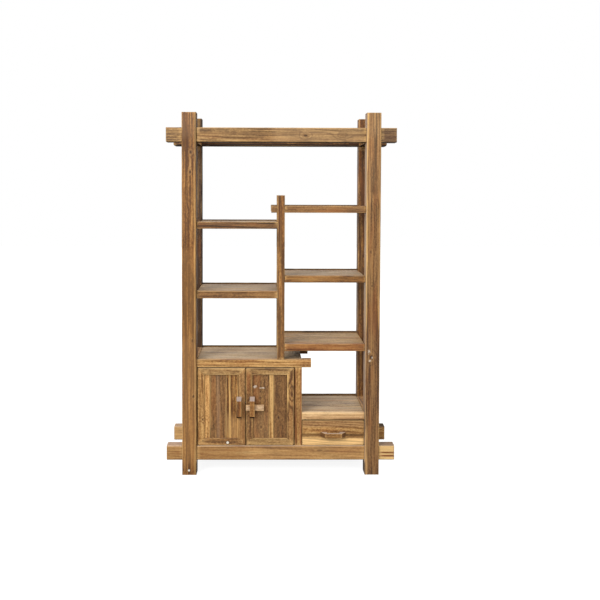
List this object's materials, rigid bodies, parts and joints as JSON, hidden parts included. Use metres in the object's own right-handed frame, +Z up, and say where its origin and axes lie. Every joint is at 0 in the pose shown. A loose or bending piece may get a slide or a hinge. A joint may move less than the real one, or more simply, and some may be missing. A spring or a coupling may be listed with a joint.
{
  "type": "bookcase with cupboard and drawer",
  "caption": "Tall open wooden bookcase with crossing posts and beams, staggered shelves, a small cupboard with a sliding latch and a drawer beside it.",
  "frame": {"origin": "middle of the box around the whole part, at the floor", "axes": "+Z up the posts; +X along the shelves, to the right seen from the doors; -Y out of the front, where the doors and the drawer open"},
  "size_m": [1.264, 0.386, 2],
  "materials": {
    "frame_wood": "worn, waxed reclaimed softwood",
    "door_wood": "worn, waxed reclaimed softwood",
    "shelf_board_wood": "worn, greyed, unwaxed",
    "pale_wood": "worn smooth",
    "inner_wood": "sawn, unfinished"
  },
  "bodies": {
    "frame": {"back_boards": "inner_wood", "base_front_rail": "frame_wood", "base_middle_rail": "frame_wood", "base_rear_rail": "frame_wood", "base_side_rails": "frame_wood", "cabinet_front_stile": "frame_wood", "cabinet_rear_stile": "frame_wood", "cabinet_side_rails": "frame_wood", "cabinet_top_boards": "shelf_board_wood", "cabinet_top_end_rails": "frame_wood", "cabinet_top_rails": "frame_wood", "divider_boards": "inner_wood", "drawer_runners": "inner_wood", "drawer_top_boards": "shelf_board_wood", "drawer_top_end_rails": "frame_wood", "drawer_top_rails": "frame_wood", "floor_boards": "inner_wood", "front_left_post": "frame_wood", "front_middle_post": "frame_wood", "front_right_post": "frame_wood", "lower_left_shelf_boards": "shelf_board_wood", "lower_left_shelf_end_rails": "frame_wood", "lower_left_shelf_rails": "frame_wood", "lower_right_shelf_boards": "shelf_board_wood", "lower_right_shelf_end_rails": "frame_wood", "lower_right_shelf_rails": "frame_wood", "middle_right_shelf_boards": "shelf_board_wood", "middle_right_shelf_end_rails": "frame_wood", "middle_right_shelf_rails": "frame_wood", "rear_left_post": "frame_wood", "rear_middle_post": "frame_wood", "rear_right_post": "frame_wood", "side_boards": "inner_wood", "top_front_beam": "frame_wood", "top_rear_beam": "frame_wood", "top_side_rails": "frame_wood", "upper_left_shelf_boards": "shelf_board_wood", "upper_left_shelf_end_rails": "frame_wood", "upper_left_shelf_rails": "frame_wood", "upper_right_shelf_boards": "shelf_board_wood", "upper_right_shelf_end_rails": "frame_wood", "upper_right_shelf_rails": "frame_wood"},
    "left_door": {"left_door_hinge_stile": "door_wood", "left_door_meeting_stile": "door_wood", "left_door_pivots": "door_wood", "left_door_planks": "door_wood", "left_door_pull": "pale_wood", "left_door_rails": "door_wood"},
    "right_door": {"right_door_hinge_stile": "door_wood", "right_door_meeting_stile": "door_wood", "right_door_pivots": "door_wood", "right_door_planks": "door_wood", "right_door_pull": "pale_wood", "right_door_rails": "door_wood"},
    "latch_bolt": {"latch_bolt": "pale_wood"},
    "drawer": {"drawer_back": "inner_wood", "drawer_bottom": "inner_wood", "drawer_front": "door_wood", "drawer_pull": "pale_wood", "drawer_sides": "inner_wood"}
  },
  "joints": [
    {"name": "left_door_hinge", "type": "hinge", "parent": "frame", "child": "left_door", "pos_m": [-0.45, -0.153, 0.375], "axis": [0, 0, -1], "range_deg": [0, 90]},
    {"name": "right_door_hinge", "type": "hinge", "parent": "frame", "child": "right_door", "pos_m": [0.062, -0.153, 0.375], "axis": [0, 0, 1], "range_deg": [0, 90]},
    {"name": "latch_slide", "type": "slide", "parent": "right_door", "child": "latch_bolt", "axis": [1, 0, 0], "range_m": [0, 0.04]},
    {"name": "drawer_slide", "type": "slide", "parent": "frame", "child": "drawer", "axis": [0, -1, 0], "range_m": [0, 0.22]}
  ]
}
